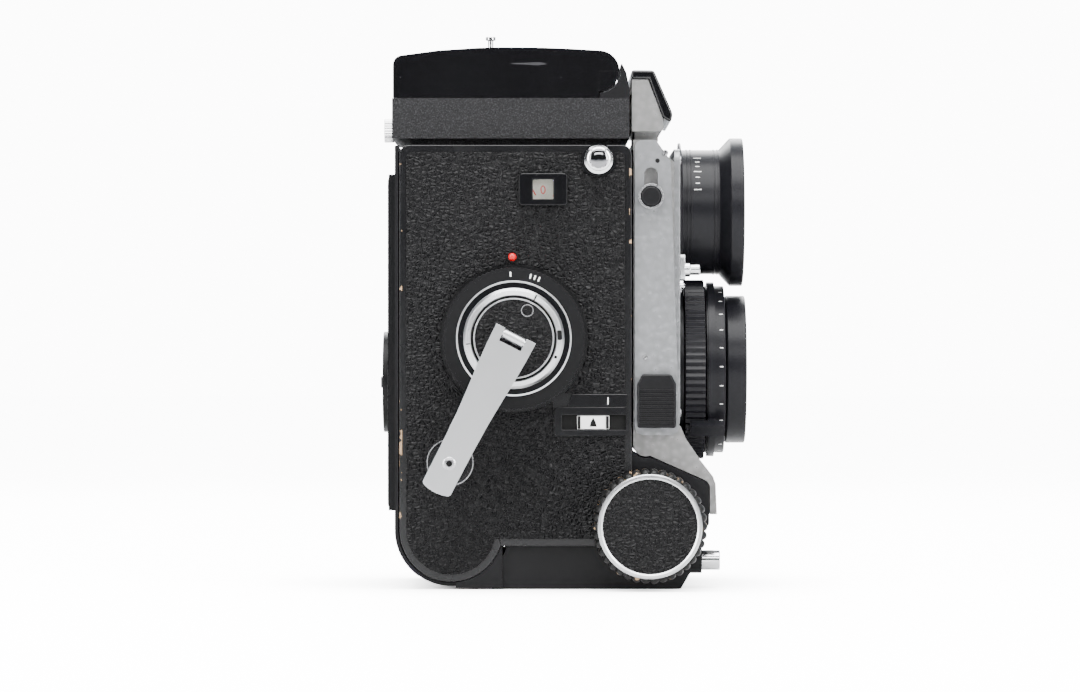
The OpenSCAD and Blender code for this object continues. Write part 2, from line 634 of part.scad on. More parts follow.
module bellows() color("#151517") difference() {
    for (i = [0:7]) let (w = i % 2 == 0 ? 0 : 1.8, y = -18.4 - i * 1.36)
        box([-32 + w, y - 1.37, 51.2 + w], [32 - w, y, 136.6 - w]);
    box([-28.6, -31, 54.6], [28.6, -17, 133.2]);
}
module release_slide() color("#121214") {
    along_x(-stand_hw - 6.6, -stand_hw - 2.8) polygon([slide_lo, [slide_hi[0], slide_lo[1]],
        [slide_hi[0], slide_hi[1] - 3], [slide_hi[0] - 1.5, slide_hi[1]], [slide_lo[0] + 1.5, slide_hi[1]],
        [slide_lo[0], slide_hi[1] - 3]]);
    box([-stand_hw - 3, -27.3, 55], [-stand_hw - 0.2, -24.5, 61]);
}
module slot_knob() color("#1a1a1c") translate([-stand_hw, slot_at[0], slot_at[1]]) rotate([0, -90, 0]) {
    translate([0, 0, 0.2]) cylinder(r = 1.9, h = 3);
    translate([0, 0, 2.8]) cylinder(r = 3.9, h = 3.2);
    translate([0, 0, 5.9]) cylinder(r1 = 3.2, r2 = 2.8, h = 0.8);
}
module viewing_barrel() color("#141417") lathe_front(board_front, [0, viewing_z]) polygon([[14, 0], [22, 0],
    [22, 0.8], [19.75, 1], [19.75, 12.9], [23.5, 16.4], [23.5, 20.4], [22.4, 20.6], [21.6, 17], [17, 12],
    [15, 12], [15, 8], [14, 8]]);
// The front elements of the two lenses
module element(r, y, at) lathe_front(y, at) polygon(concat([[0, 0], [r, 0], [r, 1.4]],
    [for (i = [1:6]) let (q = r * (1 - i / 6)) [q, 1.4 + r * 0.16 * (1 - q * q / (r * r))]]));
module lens_glass() color("#7f90a8", 0.6) {
    element(14.9, board_front - 8, [0, viewing_z]);
    element(12.9, board_front - 12, [0, taking_z]);
}
module shutter_body() color("#151518") lathe_front(board_front, [0, taking_z]) polygon([[13, 0], [26, 0],
    [26, 1.5], [24.5, 1.5], [24.5, 8.4], [26.5, 8.4], [26.5, 14.4], [22, 14.6], [13, 14.6]]);
module speed_ring() color("#1c1c1f") difference() {
    translate([0, board_front - 1.8, taking_z]) rotate([90, 0, 0]) linear_extrude(6.3)
        knurled(28.5, 80, 0.7);
    rod_y(-30, -50, [0, taking_z], 24.56);
}
module aperture_lever() color("#161619") {
    difference() {
        rod_y(-42.6, -44.8, [0, taking_z], 27.7);
        rod_y(-40, -50, [0, taking_z], 26.58);
    }
    translate([0, 0, taking_z]) rotate([0, -37, 0]) {
        box([-30, -44.8, -1.6], [-27.2, -42.6, 1.6]);
        box([-32, -47.6, -2], [-29.2, -36.8, 2]);
    }
}
module taking_barrel() color("#151518") lathe_front(board_front - 14.6, [0, taking_z]) polygon([[13.2, 0],
    [22.6, 0], [23.4, 0.6], [23.4, 6.4], [22.4, 6.6], [21.4, 2.4], [15, 1.2], [13.2, 1.2]]);

// ---- focusing drive ----
module focus_gear() color("#b9a15c") {
    rod_x(-47, 47, focus, 3);
    for (s = [-1, 1]) along_x(s * rail_x - 3.4, s * rail_x + 3.4) at2(focus) {
        circle(4.75);
        for (i = [0:pinion_teeth - 1]) rotate(90 + i * 360 / pinion_teeth)
            polygon([[4.5, -0.62], [5.95, -0.26], [5.95, 0.26], [4.5, 0.62]]);
    }
}
module focus_knobs() color("#1a1a1d") both() difference() {
    union() {
        along_x(45.5, 57.4) at2(focus) knurled(knob_r, 38, 0.8);
        rod_x(41.6, 45.6, focus, 9);
        rod_x(57.3, 58, focus, 16);
    }
    rod_x(57.5, 59, focus, 14.8);
    rod_x(40, 47, focus, 3);
}

body_shell();
side_covers();
leather_panels();
base_housing();
tripod_bush();
reflex_mirror();
focusing_screen();
hood_base();
hood_bracket();
counter_bezel();
counter_glass();
index_dot();
strap_lugs();
lock_plate();
accessory_shoe();
lock_slider();
hinge_pins();
release_button();
counter_dial();
take_up_spool();
spool_key();
idler_gear();
roller_upper();
roller_lower();
spool_knob_upper();
spool_knob_lower();
selector_ring();
crank_hub();
crank_leather();
crank_pin();
crank_arm();
crank_knob();
hood_lid();
magnifier_button();
magnifier_arm();
magnifier_glass();
hood_panel_left();
hood_panel_right();
hood_panel_rear();
hood_screw();
back_door();
pressure_plate();
film_dial();
door_latch();
standard_frame();
name_cover();
side_plates();
lens_board();
rails();
bellows();
release_slide();
slot_knob();
viewing_barrel();
lens_glass();
shutter_body();
speed_ring();
aperture_lever();
taking_barrel();
focus_gear();
focus_knobs();
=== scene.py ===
"""Looks of the twin lens reflex camera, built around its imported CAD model.

Lengths are in metres. X runs across the camera, with its crank at -X; the lenses look along -Y; Z is up.
"""

import math

import bmesh
import bpy
from mathutils import Matrix, Vector


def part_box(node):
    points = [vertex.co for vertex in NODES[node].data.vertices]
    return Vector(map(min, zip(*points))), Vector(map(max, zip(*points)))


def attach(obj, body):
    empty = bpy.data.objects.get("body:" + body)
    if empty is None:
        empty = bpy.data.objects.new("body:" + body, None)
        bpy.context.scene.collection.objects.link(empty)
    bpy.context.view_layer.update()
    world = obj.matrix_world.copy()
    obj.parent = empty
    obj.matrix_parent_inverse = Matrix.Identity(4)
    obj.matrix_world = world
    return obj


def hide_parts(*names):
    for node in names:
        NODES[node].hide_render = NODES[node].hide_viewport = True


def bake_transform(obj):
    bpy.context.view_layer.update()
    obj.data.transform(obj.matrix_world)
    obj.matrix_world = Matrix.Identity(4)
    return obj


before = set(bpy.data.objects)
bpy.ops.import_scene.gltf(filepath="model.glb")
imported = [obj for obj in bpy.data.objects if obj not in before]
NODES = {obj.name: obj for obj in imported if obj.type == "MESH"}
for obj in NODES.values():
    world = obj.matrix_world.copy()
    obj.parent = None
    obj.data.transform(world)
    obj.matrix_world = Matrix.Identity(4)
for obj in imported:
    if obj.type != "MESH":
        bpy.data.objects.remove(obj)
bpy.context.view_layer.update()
MM = 0.001
POLE = 0.001  # radius at which a turned profile ends on its own axis, in mm
PAINT = 0.06  # thickness of a painted mark, in mm
SINK = 0.02  # how far a mark is let into its face, or stands off it, in mm


# ---------------------------------------------------------------- materials
def link(tree, a, out, b, inp):
    tree.links.new(a.outputs[out], b.inputs[inp])


def new_material(name, color, rough, metal=0.0, coat=0.0, ior=1.5, specular=0.5):
    m = bpy.data.materials.new(name)
    m.use_nodes = True
    b = m.node_tree.nodes["Principled BSDF"]
    b.inputs["Base Color"].default_value = (*color, 1)
    b.inputs["Roughness"].default_value = rough
    b.inputs["Metallic"].default_value = metal
    b.inputs["Coat Weight"].default_value = coat
    b.inputs["Coat Roughness"].default_value = 0.08
    b.inputs["IOR"].default_value = ior
    b.inputs["Specular IOR Level"].default_value = specular
    return m, m.node_tree, b


def texture(tree, kind, scale, stretch=(1, 1, 1), detail=2.0, **values):
    """A procedural texture in the row's own coordinates, scale in cells per metre."""
    where = tree.nodes.new("ShaderNodeTexCoord")
    mapping = tree.nodes.new("ShaderNodeMapping")
    mapping.inputs["Scale"].default_value = stretch
    link(tree, where, "Object", mapping, "Vector")
    t = tree.nodes.new(kind)
    t.inputs["Scale"].default_value = scale
    if kind == "ShaderNodeTexNoise":
        t.inputs["Detail"].default_value = detail
    for key, value in values.items():
        setattr(t, key, value)
    link(tree, mapping, "Vector", t, "Vector")
    return t


def ramp(tree, source, out, low, high, c0=(0, 0, 0), c1=(1, 1, 1)):
    r = tree.nodes.new("ShaderNodeValToRGB")
    r.color_ramp.elements[0].position = low
    r.color_ramp.elements[1].position = high
    r.color_ramp.elements[0].color = (*c0, 1)
    r.color_ramp.elements[1].color = (*c1, 1)
    link(tree, source, out, r, "Fac")
    return r


def add_bump(tree, shader, source, out, height, strength=1.0):
    """Adds a bump layer below any that the shader already has."""
    b = tree.nodes.new("ShaderNodeBump")
    b.inputs["Distance"].default_value = height
    b.inputs["Strength"].default_value = strength
    link(tree, source, out, b, "Height")
    if shader.inputs["Normal"].links:
        tree.links.new(shader.inputs["Normal"].links[0].from_node.outputs["Normal"], b.inputs["Normal"])
    link(tree, b, "Normal", shader, "Normal")


def mix_color(tree, shader, mask, out, color):
    """Lays color over the base colour where mask is white."""
    mix = tree.nodes.new("ShaderNodeMix")
    mix.data_type = "RGBA"
    base = shader.inputs["Base Color"]
    if base.links:
        tree.links.new(base.links[0].from_socket, mix.inputs["A"])
    else:
        mix.inputs["A"].default_value = base.default_value
    mix.inputs["B"].default_value = (*color, 1)
    link(tree, mask, out, mix, "Factor")
    link(tree, mix, "Result", shader, "Base Color")


def vary_rough(tree, shader, source, out, low, high):
    m = tree.nodes.new("ShaderNodeMapRange")
    m.inputs["To Min"].default_value = low
    m.inputs["To Max"].default_value = high
    link(tree, source, out, m, "Value")
    link(tree, m, "Result", shader, "Roughness")


def leather_material():
    m, t, b = new_material("leatherette", (0.003, 0.003, 0.0033), 0.5, specular=0.13)
    cells = texture(t, "ShaderNodeTexVoronoi", 800, (1, 0.85, 1), feature="DISTANCE_TO_EDGE")
    pebble = ramp(t, cells, "Distance", 0.02, 0.3)
    pebble.color_ramp.interpolation = "EASE"
    grain = texture(t, "ShaderNodeTexNoise", 1500, detail=2)
    broad = texture(t, "ShaderNodeTexNoise", 140, (1, 0.5, 1))
    add_bump(t, b, grain, "Fac", 0.0003, 0.5)
    add_bump(t, b, pebble, "Color", 0.0005, 1.0)
    add_bump(t, b, broad, "Fac", 0.0004, 0.3)
    vary_rough(t, b, grain, "Fac", 0.24, 0.42)
    dust = ramp(t, texture(t, "ShaderNodeTexNoise", 5200, detail=1), "Fac", 0.7, 0.74)
    mix_color(t, b, dust, "Color", (0.055, 0.055, 0.055))
    return m


def near_edges(tree, front=-0.0174, back=0.0531):
    """White on the strips in front of the first and behind the second distance along Y."""
    where = tree.nodes.new("ShaderNodeTexCoord")
    split = tree.nodes.new("ShaderNodeSeparateXYZ")
    link(tree, where, "Object", split, "Vector")
    ends = []
    for test, limit in (("LESS_THAN", front), ("GREATER_THAN", back)):
        n = tree.nodes.new("ShaderNodeMath")
        n.operation = test
        n.inputs[1].default_value = limit
        link(tree, split, "Y", n, 0)
        ends.append(n)
    total = tree.nodes.new("ShaderNodeMath")
    total.operation = "ADD"
    for i, n in enumerate(ends):
        link(tree, n, "Value", total, i)
    return total


def enamel_material(name, color=(0.0025, 0.0025, 0.003), rough=0.12, wear=0.0):
    m, t, b = new_material(name, color, rough, coat=0.15, specular=0.3)
    smear = texture(t, "ShaderNodeTexNoise", 90, (1, 1, 0.3), detail=4)
    vary_rough(t, b, smear, "Fac", rough * 0.8, rough * 1.7)
    specks = ramp(t, texture(t, "ShaderNodeTexNoise", 1500, detail=1), "Fac", 0.79, 0.8)
    mix_color(t, b, specks, "Color", (0.04, 0.04, 0.04))
    scratch = ramp(t, texture(t, "ShaderNodeTexNoise", 240, (1, 0.08, 1), detail=3), "Fac", 0.74, 0.75)
    mix_color(t, b, scratch, "Color", (0.03, 0.03, 0.032))
    if wear:
        worn = ramp(t, texture(t, "ShaderNodeTexNoise", 210, detail=5), "Fac", 0.61 - wear, 0.63 - wear)
        edge = near_edges(t)
        both = t.nodes.new("ShaderNodeMath")
        both.operation = "MULTIPLY"
        link(t, worn, "Color", both, 0)
        link(t, edge, "Value", both, 1)
        mix_color(t, b, both, "Value", (0.3, 0.2, 0.12))
    add_bump(t, b, texture(t, "ShaderNodeTexNoise", 120, detail=1), "Fac", 0.00002, 0.3)
    return m


def crackle_material():
    m, t, b = new_material("crackle_paint", (0.005, 0.005, 0.0055), 0.5, specular=0.14)
    fine = texture(t, "ShaderNodeTexNoise", 2300, detail=3)
    cells = texture(t, "ShaderNodeTexVoronoi", 1500)
    light = ramp(t, fine, "Fac", 0.5, 0.66)
    mix_color(t, b, light, "Color", (0.02, 0.02, 0.022))
    add_bump(t, b, fine, "Fac", 0.0003, 0.9)
    add_bump(t, b, cells, "Distance", 0.0002, 0.7)
    return m


def hammer_material(name="hammertone", color=(0.235, 0.24, 0.248)):
    m, t, b = new_material(name, color, 0.36, metal=0.55)
    dents = texture(t, "ShaderNodeTexVoronoi", 520, feature="SMOOTH_F1")
    patch = ramp(t, dents, "Distance", 0.1, 0.62)
    mix_color(t, b, patch, "Color", tuple(0.72 * c for c in color))
    add_bump(t, b, dents, "Distance", 0.00022, 0.65)
    add_bump(t, b, texture(t, "ShaderNodeTexNoise", 1500, detail=2), "Fac", 0.00005, 0.35)
    vary_rough(t, b, dents, "Distance", 0.26, 0.48)
    return m


def metal_material(name, color, rough, brush=None, metal=1.0):
    """brush is the stretch of the fine grain, such as (1, 0.05, 1) for lines along Y."""
    m, t, b = new_material(name, color, rough, metal=metal)
    grain = texture(t, "ShaderNodeTexNoise", 2400, brush or (1, 1, 1), detail=3)
    vary_rough(t, b, grain, "Fac", rough * 0.7, rough * 1.35)
    add_bump(t, b, grain, "Fac", 0.00002, 0.35 if brush else 0.15)
    return m


def satin_material(name, color=(0.005, 0.005, 0.0055), rough=0.34, wear=None):
    m, t, b = new_material(name, color, rough, specular=0.14)
    grain = texture(t, "ShaderNodeTexNoise", 2800, detail=2)
    vary_rough(t, b, grain, "Fac", rough * 0.8, rough * 1.25)
    add_bump(t, b, grain, "Fac", 0.00003, 0.3)
    if wear:
        worn = ramp(t, texture(t, "ShaderNodeTexNoise", 330, detail=5), "Fac", 0.63, 0.67)
        mix_color(t, b, worn, "Color", wear)
    return m


def glass_material(name, color, rough=0.02, alpha=0.35):
    m, t, b = new_material(name, color, rough, coat=1.0, ior=1.6, specular=0.9)
    b.inputs["Alpha"].default_value = alpha
    b.inputs["Specular Tint"].default_value = (0.55, 0.45, 1.0, 1)
    haze = texture(t, "ShaderNodeTexNoise", 60, detail=3)
    vary_rough(t, b, haze, "Fac", rough * 0.5, rough * 2)
    return m


M = {
    "leather": leather_material(),
    "enamel": enamel_material("gloss_enamel"),
    "rim": enamel_material("rim_enamel", rough=0.22, wear=0.03),
    "crackle": crackle_material(),
    "hammer": hammer_material(),
    "flare": hammer_material("flare_paint", (0.23, 0.228, 0.225)),
    "chrome": metal_material("chrome", (0.68, 0.68, 0.69), 0.14),
    "satin_chrome": metal_material("satin_chrome", (0.56, 0.565, 0.575), 0.3),
    "arm": metal_material("satin_arm", (0.5, 0.505, 0.515), 0.34, (1, 1, 0.12)),
    "steel": metal_material("spring_steel", (0.4, 0.4, 0.41), 0.28),
    "brass": metal_material("brass", (0.62, 0.44, 0.18), 0.3),
    "satin": satin_material("satin_black"),
    "lens": satin_material("lens_black", (0.006, 0.006, 0.0075), 0.3),
    "knob": satin_material("knob_black", (0.006, 0.006, 0.006), 0.36, (0.25, 0.17, 0.1)),
    "matt": satin_material("matt_black", (0.003, 0.003, 0.003), 0.8),
    "bellows": satin_material("bellows_cloth", (0.006, 0.006, 0.006), 0.7),
    "plastic": satin_material("spool_plastic", (0.02, 0.02, 0.022), 0.45),
    "cream": satin_material("cream_enamel", (0.4, 0.39, 0.33), 0.4),
    "white": satin_material("white_enamel", (0.72, 0.72, 0.7), 0.35),
    "red": enamel_material("red_enamel", (0.42, 0.006, 0.008), 0.12),
    "glass": glass_material("coated_glass", (0.02, 0.02, 0.05), alpha=0.6),
    "clear": glass_material("clear_glass", (0.5, 0.5, 0.45), alpha=0.07),
    "screen": satin_material("ground_screen", (0.5, 0.52, 0.48), 0.55),
    "stud": metal_material("polished_stud", (0.2, 0.2, 0.21), 0.08),
    "mirror": metal_material("front_mirror", (0.85, 0.86, 0.87), 0.03),
}

LOOKS = {
    "leather": ["leather_panels", "crank_leather"],
    "rim": ["side_covers"],
    "enamel": ["hood_lid", "name_cover", "counter_bezel", "lock_plate"],
    "crackle": ["hood_base"],
    "hammer": ["side_plates", "lens_board"],
    "flare": ["standard_frame"],
    "satin": ["body_shell", "base_housing", "hood_bracket", "back_door", "film_dial", "selector_ring",
              "release_slide", "slot_knob", "crank_knob", "magnifier_arm", "hood_panel_left",
              "hood_panel_right", "hood_panel_rear"],
    "matt": ["pressure_plate"],
    "lens": ["viewing_barrel", "shutter_body", "speed_ring", "aperture_lever", "taking_barrel"],
    "chrome": ["crank_pin", "strap_lugs", "hood_screw", "magnifier_button", "release_button",
               "accessory_shoe", "door_latch", "roller_upper", "roller_lower", "spool_knob_upper",
               "spool_knob_lower"],
    "satin_chrome": ["crank_hub", "rails", "tripod_bush", "hinge_pins", "spool_key"],
    "arm": ["crank_arm"],
    "brass": ["focus_gear", "idler_gear"],
    "knob": ["focus_knobs"],
    "plastic": ["take_up_spool"],
    "cream": ["counter_dial"],
    "white": ["lock_slider"],
    "red": ["index_dot"],
    "bellows": ["bellows"],
    "glass": ["lens_glass"],
    "clear": ["magnifier_glass", "counter_glass"],
    "screen": ["focusing_screen"],
    "mirror": ["reflex_mirror"],
}
BEVEL = {  # width of the rounded edge, in mm, for nodes that differ from the usual one
    "leather_panels": 0.2, "hood_lid": 0.7, "name_cover": 0.8, "hood_base": 0.5, "side_plates": 0.6,
    "standard_frame": 0.5, "side_covers": 0.45, "crank_arm": 0.8, "focus_knobs": 0.35, "selector_ring": 0.12,
    "index_dot": 0.05, "bellows": 0.3, "speed_ring": 0.15, "base_housing": 0.5, "release_slide": 0.6,
    "lock_slider": 0.2, "hood_screw": 0.15, "crank_knob": 0.15, "crank_leather": 0.1, "focus_gear": 0.05,
    "idler_gear": 0.05, "spool_key": 0.05, "crank_hub": 0.12, "reflex_mirror": 0.1, "lens_glass": 0.0,
    "counter_glass": 0.05, "hinge_pins": 0.1, "rails": 0.08, "film_dial": 0.6,
}
USUAL_BEVEL = 0.25


def round_edges(obj, width, angle=32, segments=2):
    """Joins the mesh's split corners, shades it smooth and rounds its sharp edges."""
    me = obj.data
    if "custom_normal" in me.attributes:
        me.attributes.remove(me.attributes["custom_normal"])
    for p in me.polygons:
        p.use_smooth = True
    weld = obj.modifiers.new("weld", "WELD")
    weld.merge_threshold = 0.000005
    flat = obj.modifiers.new("flat", "DECIMATE")
    flat.decimate_type = "DISSOLVE"
    flat.angle_limit = math.radians(0.6)
    if width:
        bevel = obj.modifiers.new("bevel", "BEVEL")
        bevel.width = width * MM
        bevel.segments = segments
        bevel.limit_method = "ANGLE"
        bevel.angle_limit = math.radians(angle)
        bevel.harden_normals = True
        bevel.use_clamp_overlap = True


for look, names in LOOKS.items():
    for name in names:
        node = NODES[name]
        node.data.materials.clear()
        node.data.materials.append(M[look])
        round_edges(node, BEVEL.get(name, USUAL_BEVEL))


# ---------------------------------------------------------------- building pieces
def finish_piece(name, bm, look, body, bevel=0.0, angle=32, segments=2):
    """Makes an object of a bmesh, gives it a look, and has it ride a CAD body."""
    bmesh.ops.recalc_face_normals(bm, faces=bm.faces)
    me = bpy.data.meshes.new(name)
    bm.to_mesh(me)
    bm.free()
    obj = bpy.data.objects.new(name, me)
    bpy.context.collection.objects.link(obj)
    me.materials.append(M[look])
    for p in me.polygons:
        p.use_smooth = True
    me.set_sharp_from_angle(angle=math.radians(angle))
    if bevel:
        mod = obj.modifiers.new("bevel", "BEVEL")
        mod.width = bevel * MM
        mod.segments = segments
        mod.limit_method = "ANGLE"
        mod.angle_limit = math.radians(angle)
        mod.harden_normals = True
    if body:
        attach(obj, body)
    return obj


def facing(place, direction, up=(0, 0, 1)):
    """A matrix, from mm, whose Z looks along direction and whose Y is as near up as it can be."""
    z = Vector(direction).normalized()
    y = Vector(up)
    y = (y - z * y.dot(z)).normalized()
    rot = Matrix((y.cross(z), y, z)).transposed().to_4x4()
    return Matrix.Scale(MM, 4) @ Matrix.Translation(place) @ rot


def ring_mesh(rings, closed_ends=(True, True)):
    """A skin over rings of equally many points."""
    bm = bmesh.new()
    loops = [[bm.verts.new(p) for p in ring] for ring in rings]
    for a, b in zip(loops, loops[1:]):
        for i in range(len(a)):
            j = (i + 1) % len(a)
            bm.faces.new((a[i], a[j], b[j], b[i]))
    for loop, wanted in ((loops[0], closed_ends[0]), (loops[-1], closed_ends[1])):
        if wanted:
            bm.faces.new(loop)
    return bm


def lathe(name, profile, place, direction, look, body, segments=96, **more):
    """Turns a profile of (radius, distance along direction) in mm. It closes on itself if it is a ring."""
    hollow = profile[0][0] > 0 and profile[-1] == profile[0]
    rings = [[(r * math.cos(2 * math.pi * i / segments), r * math.sin(2 * math.pi * i / segments), d)
              for i in range(segments)] for r, d in profile]
    bm = ring_mesh(rings, (not hollow, not hollow))
    if hollow:
        bmesh.ops.remove_doubles(bm, verts=bm.verts, dist=1e-4)
    bmesh.ops.transform(bm, matrix=facing(place, direction), verts=bm.verts)
    return finish_piece(name, bm, look, body, **more)


def annulus(name, r_in, r_out, thick, place, direction, look, body, **more):
    return lathe(name, [(r_in, 0), (r_out, 0), (r_out, thick), (r_in, thick), (r_in, 0)],
                 place, direction, look, body, **more)


def disc(name, r, thick, place, direction, look, body, segments):
    lathe(name, [(POLE, 0), (r, 0), (r, thick), (POLE, thick)], place, direction, look, body, segments=segments)


def slab(name, outline, thick, place, direction, look, body, up=(0, 0, 1), **more):
    """An outline of (across, up) points in mm, made thick along direction."""
    bm = ring_mesh([[(x, y, d) for x, y in outline] for d in (0, thick)])
    bmesh.ops.transform(bm, matrix=facing(place, direction, up), verts=bm.verts)
    return finish_piece(name, bm, look, body, **more)


def frame_ring(name, outer, at, inner, inner_at, thick, place, direction, look, body, **more):
    """A flat frame between two outlines of equally many points, each moved to its own middle."""
    edges = ((outer, at, 0), (outer, at, thick), (inner, inner_at, thick), (inner, inner_at, 0))
    rings = [[(x + c[0], y + c[1], d) for x, y in points] for points, c, d in edges]
    bm = ring_mesh(rings + rings[:1], (False, False))
    bmesh.ops.remove_doubles(bm, verts=bm.verts, dist=1e-4)
    bmesh.ops.transform(bm, matrix=facing(place, direction), verts=bm.verts)
    return finish_piece(name, bm, look, body, **more)


def rounded(w, h, r, n=5):
    """Outline of a rectangle with round corners."""
    points = []
    for cx, cy, a0 in ((w / 2 - r, h / 2 - r, 0), (r - w / 2, h / 2 - r, 90),
                       (r - w / 2, r - h / 2, 180), (w / 2 - r, r - h / 2, 270)):
        for i in range(n + 1):
            a = math.radians(a0 + 90 * i / n)
            points.append((cx + r * math.cos(a), cy + r * math.sin(a)))
    return points


def screw(name, r, place, direction, body, look="chrome", turn=30.0):
    """A slotted cheese-head screw standing a little above its seat."""
    dome = [(POLE, -0.3), (r, -0.3), (r, 0.25), (r * 0.86, 0.42), (POLE, 0.5)]
    lathe(name, dome, place, direction, look, body, segments=32)
    a = math.radians(turn)
    half, thin = r * 0.86, 0.13 * r
    bar = [(half * math.cos(a) * s - thin * math.sin(a) * t, half * math.sin(a) * s + thin * math.cos(a) * t)
           for s, t in ((-1, -1), (1, -1), (1, 1), (-1, 1))]
    slab(name + "_slot", bar, 0.2, Vector(place) + 0.33 * Vector(direction), direction, "matt", body)


def numeral(name, text, size, place, direction, up, look, body, thick=0.06):
    """A flat numeral lying on a face."""
    curve = bpy.data.curves.new(name, "FONT")
    curve.body = text
    curve.size = size
    curve.align_x = curve.align_y = "CENTER"
    curve.extrude = thick / 2
    curve.offset = 0.012 * size
    source = bpy.data.objects.new(name + "_source", curve)
    bpy.context.collection.objects.link(source)
    me = bpy.data.meshes.new_from_object(source.evaluated_get(bpy.context.evaluated_depsgraph_get()))
    bm = bmesh.new()
    bm.from_mesh(me)
    bpy.data.objects.remove(source)
    bmesh.ops.transform(bm, matrix=facing(place, direction, up), verts=bm.verts)
    return finish_piece(name, bm, look, body)


RIGHT, LEFT, FORWARD, BACK, UP, DOWN = (-1, 0, 0), (1, 0, 0), (0, -1, 0), (0, 1, 0), (0, 0, 1), (0, 0, -1)


def middle(node):
    """The centre of a CAD node, in mm."""
    lo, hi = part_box(node)
    return (Vector(lo) + Vector(hi)) / 2 / MM


def low(node):
    return Vector(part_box(node)[0]) / MM


def high(node):
    return Vector(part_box(node)[1]) / MM


# ---------------------------------------------------------------- focusing knobs
def focus_knobs(lobes=38, per_lobe=8, lobe_depth=0.95):
    """Fluted rims of the focusing knobs, each with its neck, bright ring and leather cap."""
    centre = middle("focus_knobs")
    outer = high("focus_knobs").x
    radius = (high("focus_knobs").z - low("focus_knobs").z) / 2
    profile = [(0, 1.3), (0.4, 0.5), (1.1, 0.0), (9.6, 0.0), (10.6, 0.35), (11.3, 1.0), (11.7, 1.7)]
    neck = [(POLE, -3.9), (8.6, -3.9), (9, -3.5), (9, 0.1), (POLE, 0.1)]
    bright = [(14.6, 11.2), (16.1, 11.2), (16.1, 12.1), (15.8, 12.45), (15.1, 12.5), (14.6, 12.2), (14.6, 11.2)]
    cap = [(POLE, 11.4), (14.7, 11.4), (14.6, 12), (12, 12.15), (POLE, 12.2)]
    first = None
    for side, direction in (("right", RIGHT), ("left", LEFT)):
        foot = (direction[0] * (outer - 12.5), centre.y, centre.z)
        rings = []
        for d, inset in profile:
            ring = []
            for i in range(lobes * per_lobe):
                a = 2 * math.pi * i / (lobes * per_lobe)
                r = radius - inset - lobe_depth * (1 - abs(math.cos(lobes * a / 2)) ** 0.6)
                ring.append((r * math.cos(a), r * math.sin(a), d))
            rings.append(ring)
        bm = ring_mesh(rings)
        bmesh.ops.transform(bm, matrix=facing(foot, direction), verts=bm.verts)
        rim = finish_piece("focus_knob_%s" % side, bm, "knob", "focus_drive", angle=50)
        first = first or rim
        lathe("focus_knob_%s_neck" % side, neck, foot, direction, "satin", "focus_drive")
        lathe("focus_knob_%s_ring" % side, bright, foot, direction, "satin_chrome", "focus_drive")
        lathe("focus_knob_%s_leather" % side, cap, foot, direction, "leather", "focus_drive")
    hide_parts("focus_knobs")


# ---------------------------------------------------------------- crank
def on_side(centre, radius, degrees, x):
    """A point round a centre on the crank's side, and the way out to it. The angle runs from the front up."""
    a = math.radians(degrees)
    out = Vector((0, -math.cos(a), math.sin(a)))
    return Vector((x, centre.y + radius * out.y, centre.z + radius * out.z)), out


def crank_details(hub_marks=14.15, selector_marks=19.9):
    """Rings of the winding gear, and the marks at two radii round it."""
    centre = middle("selector_ring")
    plane = low("crank_leather").x
    selector = low("selector_ring").x
    for name, r_in, r_out, thick, x, look, body in (
            ("crank_black_band", 15.65, 17.35, 0.1, plane + 4.28, "enamel", "crank_hub"),
            ("crank_dark_groove", 12.5, 13.2, 0.1, plane + 0.72, "matt", "crank_hub"),
            ("crank_inner_ring", 12.0, 12.45, 0.12, plane + 0.05, "steel", "crank_hub")):
        annulus(name, r_in, r_out, thick, (x, centre.y, centre.z), RIGHT, look, body)
    annulus("crank_leather_ring", 1.65, 1.95, 0.14, (plane + SINK, centre.y - 4.2, centre.z + 8.6), RIGHT,
            "steel", "crank_hub", segments=40)
    # Marks on the bright ring, each with its angle, width and length along the ring
    for i, (angle, wide, tall) in enumerate(((187, 0.35, 1.5), (62, 0.5, 1.9), (4, 3.0, 1.5), (336, 0.9, 0.9))):
        spot, out = on_side(centre, hub_marks, angle, plane - SINK)
        slab("crank_mark_%d" % i, rounded(tall, wide, min(wide, tall) * 0.3), PAINT, spot, RIGHT, "matt",
             "crank_hub", up=(0, out.z, -out.y))
    # Marks on the selector: one bar and three bars
    for i, angle in enumerate((93, 75, 71, 67)):
        spot, out = on_side(centre, selector_marks, angle, selector + SINK)
        slab("selector_mark_%d" % i, rounded(0.5, 1.5, 0.2), PAINT, spot, RIGHT, "white", "selector_ring",
             up=out)
    annulus("selector_edge", 21.0, 21.5, 0.08, (selector, centre.y, centre.z), RIGHT, "satin", "selector_ring")


def arm_details():
    """Rivet of the crank's arm, with a hole in its middle, and the ring of the well its knob folds into."""
    spot = middle("crank_knob")
    spot.x = low("crank_arm").x
    rivet = [(POLE, -0.3), (2.05, -0.3), (2.05, 0.1), (1.7, 0.35), (1.0, 0.42), (0.8, 0.1), (POLE, 0.0)]
    lathe("crank_rivet", rivet, spot, RIGHT, "steel", "crank_arm", segments=40)
    annulus("knob_well_rim", 6.95, 7.3, 0.12, (low("leather_panels").x + 0.06, spot.y, spot.z), RIGHT,
            "steel", "camera_body")
    disc("crank_rivet_hole", 0.8, 0.14, spot, RIGHT, "matt", "crank_arm", segments=32)


# ---------------------------------------------------------------- counter, lock and other marks
def counter_details(numbers=12, size=3.7):
    centre = middle("counter_dial")
    window = middle("counter_glass")
    reach = window.z - centre.z
    for n in range(numbers):
        a = 2 * math.pi * n / numbers
        up = Vector((0, -math.sin(a), math.cos(a)))
        spot = centre + up * (reach - 0.2)
        spot.x = low("counter_dial").x
        numeral("counter_number_%d" % n, str(n), size, spot, RIGHT, up, "red", "counter_dial")


